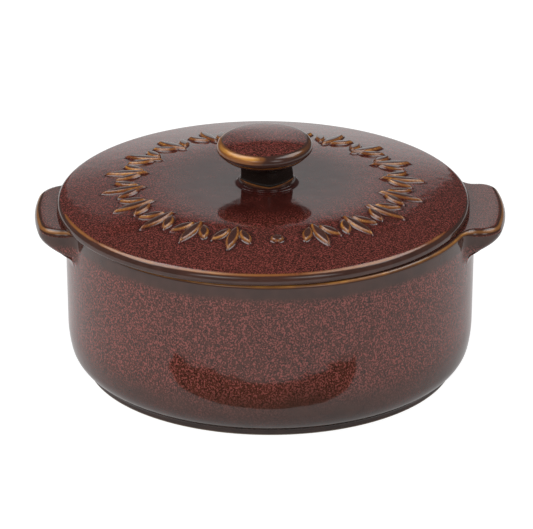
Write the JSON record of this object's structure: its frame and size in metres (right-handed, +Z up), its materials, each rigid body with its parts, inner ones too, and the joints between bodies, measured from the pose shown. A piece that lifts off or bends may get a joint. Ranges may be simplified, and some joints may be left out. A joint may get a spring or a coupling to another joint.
{
  "type": "camembert baker",
  "caption": "Round lidded stoneware baker for a whole soft cheese: low dish with lug handles at its rim, domed lid with a mushroom knob and a raised ring of leaves.",
  "frame": {"origin": "middle of the foot ring, on the surface that the dish stands on", "axes": "+X through the two lug handles, +Z up through the knob, +Y towards the back"},
  "size_m": [0.1666, 0.1462, 0.0867],
  "materials": {
    "dish_glaze": "glossy speckled maroon glaze, amber on the edges",
    "lid_glaze": "glossy speckled maroon glaze, amber on the edges"
  },
  "bodies": {
    "root": {"dish": "dish_glaze", "lid": "lid_glaze"}
  },
  "joints": []
}
